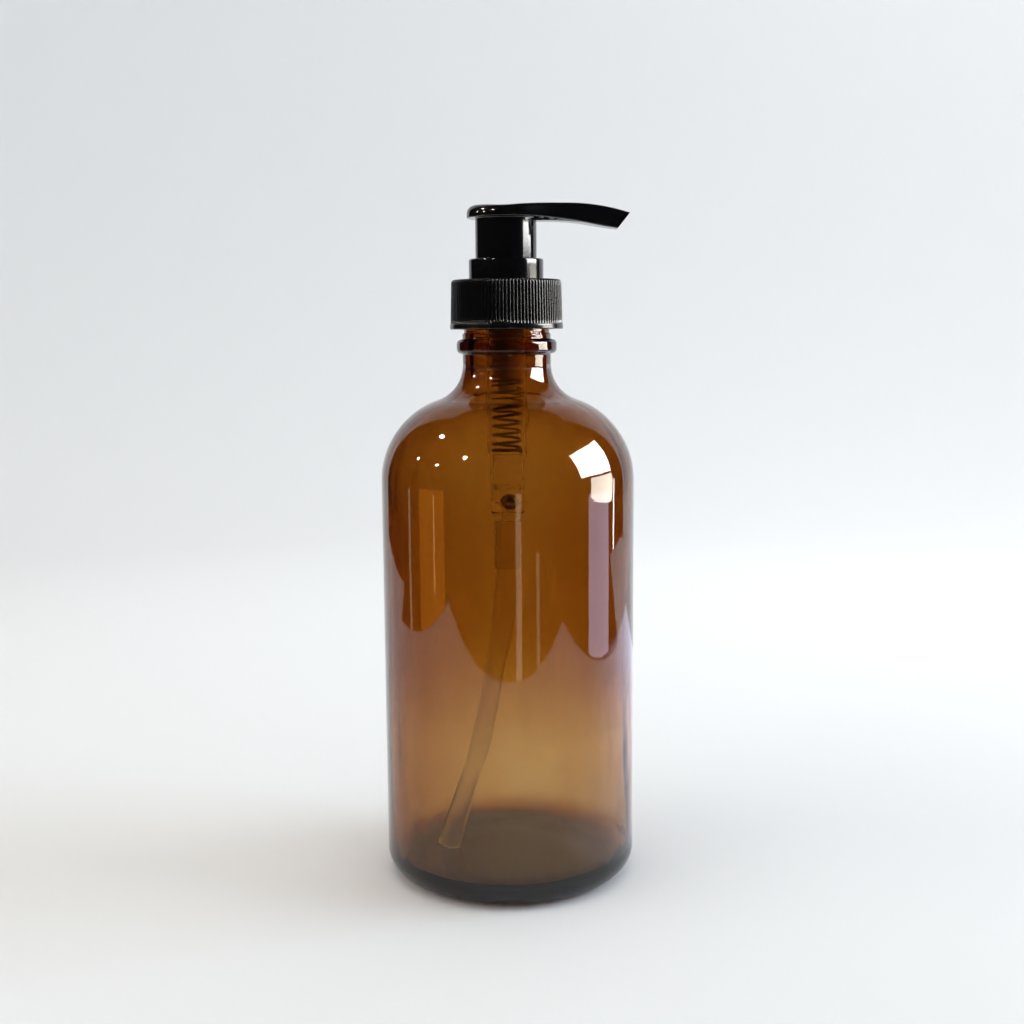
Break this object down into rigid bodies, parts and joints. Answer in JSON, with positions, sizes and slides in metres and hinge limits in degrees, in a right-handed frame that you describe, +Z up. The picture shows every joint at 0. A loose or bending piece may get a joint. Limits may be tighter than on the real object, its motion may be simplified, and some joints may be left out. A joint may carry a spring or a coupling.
{
  "type": "soap pump dispenser",
  "caption": "Round amber glass bottle with a domed shoulder and a black screw-on pump that lifts liquid soap through a dip tube to an arched spout.",
  "frame": {"origin": "centre of the bottle's foot on the surface that it stands on", "axes": "+Z up along the bottle's axis, +X the way the spout points, +Y to the side"},
  "size_m": [0.075, 0.075, 0.1995],
  "materials": {
    "bottle_glass": "smooth moulded amber glass",
    "closure_black": "ribbed, satin moulded polypropylene",
    "collar_black": "glossy moulded polypropylene",
    "head_black": "glossy moulded polypropylene",
    "natural_plastic": "translucent natural polypropylene",
    "tube_plastic": "translucent natural polyethylene",
    "gasket_foam": "soft foamed sealing ring",
    "piston_plastic": "white polyethylene",
    "spring_steel": "drawn stainless wire",
    "ball_steel": "polished steel ball"
  },
  "bodies": {
    "glass_bottle": {"bottle": "bottle_glass"},
    "pump_body": {"neck_gasket": "gasket_foam", "chaplet": "collar_black", "pump_housing": "natural_plastic", "stem_guide": "natural_plastic", "ball_retainer": "natural_plastic", "dip_tube": "tube_plastic", "return_spring": "spring_steel"},
    "screw_closure": {"closure": "closure_black"},
    "plunger": {"valve_rod": "natural_plastic"},
    "piston_seal": {"piston": "piston_plastic"},
    "valve_ball": {"inlet_ball": "ball_steel"},
    "head": {"stem": "natural_plastic", "actuator": "head_black"}
  },
  "joints": [
    {"name": "pump_lift", "type": "slide", "parent": "glass_bottle", "child": "pump_body", "axis": [0, 0, 1], "range_m": [0, 0.00529]},
    {"name": "closure_turn", "type": "hinge", "parent": "pump_body", "child": "screw_closure", "pos_m": [0, 0, 0.1705], "axis": [0, 0, 1], "range_deg": [0, 450]},
    {"name": "pump_stroke", "type": "slide", "parent": "pump_body", "child": "plunger", "axis": [0, 0, -1], "range_m": [0, 0.01], "stiffness_N_per_m": 1200, "springref_m": -0.006, "deforming": ["return_spring"]},
    {"name": "piston_float", "type": "slide", "parent": "plunger", "child": "piston_seal", "axis": [0, 0, 1], "range_m": [0, 0.0012]},
    {"name": "head_swivel", "type": "hinge", "parent": "plunger", "child": "head", "pos_m": [0, 0, 0.187], "axis": [0, 0, 1], "continuous": true},
    {"name": "ball_lift", "type": "slide", "parent": "pump_body", "child": "valve_ball", "axis": [0, 0, 1], "range_m": [0, 0.0015]}
  ],
  "couplings": [
    {"joint": "closure_turn", "follows": "pump_lift", "rad_per_m": 1484.3}
  ]
}
